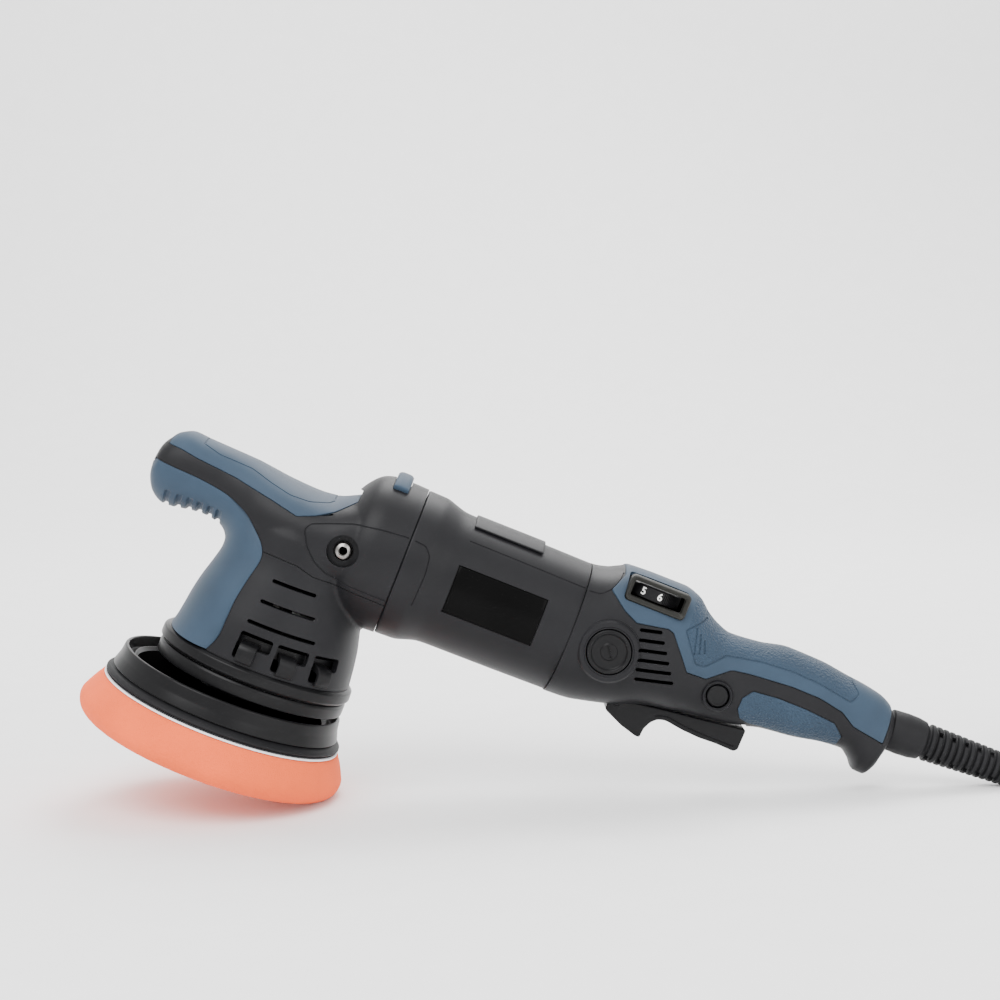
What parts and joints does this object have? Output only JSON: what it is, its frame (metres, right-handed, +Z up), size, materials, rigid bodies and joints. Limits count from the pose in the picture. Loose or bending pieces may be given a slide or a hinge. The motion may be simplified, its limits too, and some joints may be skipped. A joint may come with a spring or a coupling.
{
  "type": "dual action polisher",
  "caption": "Corded electric polisher tilted on its foam pad, with a palm handle over the geared head, a barrel motor, a long trigger tail and a coiled cord.",
  "frame": {"origin": "centre of the base of the tool's bounding box, without the free cord, coil and plug, on the surface it stands on", "axes": "+X from the palm handle to the cord, level; +Y to the tool's right side; +Z up. The tool itself is tilted about Y."},
  "size_m": [0.6242, 0.1876, 0.1864],
  "materials": {
    "dark_plastic": "fine moulded grain",
    "black_plastic": "satin",
    "blue_rubber": "matte soft overmould",
    "black_rubber": "matte",
    "label_black": "plain gloss",
    "dial_grey": "matte",
    "steel": "ground",
    "copper": null,
    "aluminium": "cast",
    "carbon": null,
    "hook_nylon": "hook tape",
    "loop_white": "loop cloth",
    "foam_orange": null
  },
  "bodies": {
    "casing": {"air_guide": "dark_plastic", "brush_cap_left": "black_plastic", "brush_cap_right": "black_plastic", "carbon_brush_left": "carbon", "carbon_brush_right": "carbon", "cord_coil": "black_rubber", "cord_end": "black_rubber", "cord_guard": "black_rubber", "cord_lead": "black_rubber", "dial_bezel": "dial_grey", "fan_baffle": "black_plastic", "field_winding_front": "copper", "field_winding_rear": "copper", "gearbox_housing": "aluminium", "handle_bolt_left": "steel", "handle_bolt_right": "steel", "handle_front_grip": "blue_rubber", "handle_top_grip": "blue_rubber", "head_cover": "dark_plastic", "label_plate": "label_black", "motor_housing": "dark_plastic", "motor_top_strip": "dark_plastic", "plug": "black_rubber", "power_switch": "black_plastic", "rest_bumper": "blue_rubber", "shroud": "dark_plastic", "shroud_ring": "dark_plastic", "skirt_ring": "black_rubber", "speed_control_module": "black_plastic", "stator_core": "steel", "tail_lower_grip_left": "blue_rubber", "tail_lower_grip_right": "blue_rubber", "tail_shell_left": "dark_plastic", "tail_shell_right": "dark_plastic", "tail_upper_grip": "blue_rubber", "trigger_pin": "steel", "trigger_spring": "steel"},
    "eccentric": {"spindle": "steel", "crown_gear": "steel", "counterweight": "steel", "spindle_bearing_upper": "steel", "spindle_bearing_lower": "steel", "pad_bearing": "steel"},
    "armature": {"bevel_pinion": "steel", "armature_shaft": "steel", "armature_core": "steel", "commutator": "copper", "motor_fan": "black_plastic", "armature_bearing_front": "steel", "armature_bearing_rear": "steel"},
    "pad": {"pad_spindle": "steel", "backing_plate": "black_plastic", "plate_cushion": "black_rubber", "plate_screw": "steel", "hook_layer": "hook_nylon", "loop_layer": "loop_white", "foam_pad": "foam_orange"},
    "trigger_lever": {"trigger": "black_plastic"},
    "lock": {"lock_button": "black_plastic"},
    "dial": {"speed_dial": "black_plastic"}
  },
  "joints": [
    {"name": "spindle_spin", "type": "hinge", "parent": "casing", "child": "eccentric", "pos_m": [-0.12, 0, 0.13878], "axis": [0.3796, 0, 0.9252], "continuous": true},
    {"name": "armature_spin", "type": "hinge", "parent": "casing", "child": "armature", "pos_m": [-0.12, 0, 0.13878], "axis": [0.9252, 0, -0.3796], "continuous": true},
    {"name": "pad_spin", "type": "hinge", "parent": "eccentric", "child": "pad", "pos_m": [-0.12694, 0, 0.14163], "axis": [0.3796, 0, 0.9252], "continuous": true},
    {"name": "trigger_pull", "type": "hinge", "parent": "casing", "child": "trigger_lever", "pos_m": [0.03373, 0, 0.04717], "axis": [0, -1, 0], "range_deg": [0, 3.5], "stiffness_Nm_per_rad": 4, "springref_deg": -3.44, "deforming": ["trigger_spring"]},
    {"name": "lock_button_press", "type": "slide", "parent": "casing", "child": "lock", "axis": [0, 1, 0], "range_m": [0, 0.0025], "stiffness_N_per_m": 600, "springref_m": -0.001},
    {"name": "speed_dial_turn", "type": "hinge", "parent": "casing", "child": "dial", "pos_m": [0.05212, -0.0124, 0.10383], "axis": [0.3796, 0, 0.9252], "range_deg": [-17, 153]}
  ],
  "couplings": [
    {"joint": "armature_spin", "follows": "spindle_spin", "ratio": 4}
  ]
}
